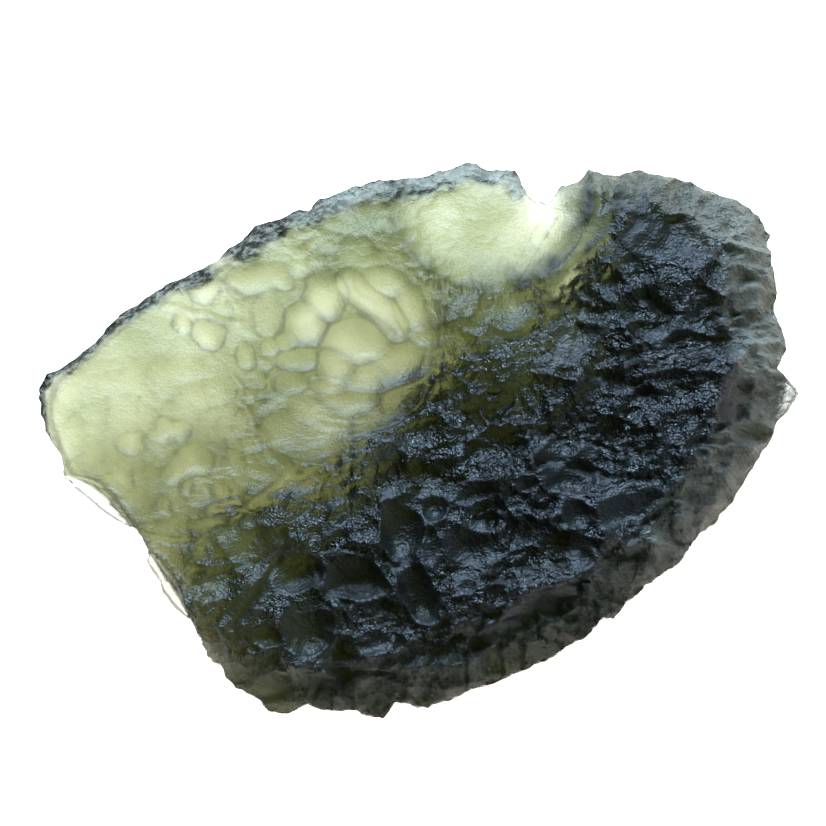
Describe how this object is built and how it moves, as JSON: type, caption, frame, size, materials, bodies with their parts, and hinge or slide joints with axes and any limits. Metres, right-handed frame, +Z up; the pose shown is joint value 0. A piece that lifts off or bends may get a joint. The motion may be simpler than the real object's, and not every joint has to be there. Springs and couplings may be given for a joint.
{
  "type": "moldavite",
  "caption": "Raw natural glass stone, flattened and pitted all over, thick at one end and thinning to a broken see-through wing, lying on its underside.",
  "frame": {"origin": "middle of the plan outline, on the plane the stone rests on", "axes": "+X along the longest extent to the blunt thick end, +Y to the long edge with the scoop, +Z up"},
  "size_m": [0.0342, 0.025, 0.0082],
  "materials": {
    "moldavite_glass": "natural bottle-green tektite glass, etched satin and pitted, see-through where thin and nearly black where thick"
  },
  "bodies": {
    "root": {"moldavite": "moldavite_glass"}
  },
  "joints": []
}
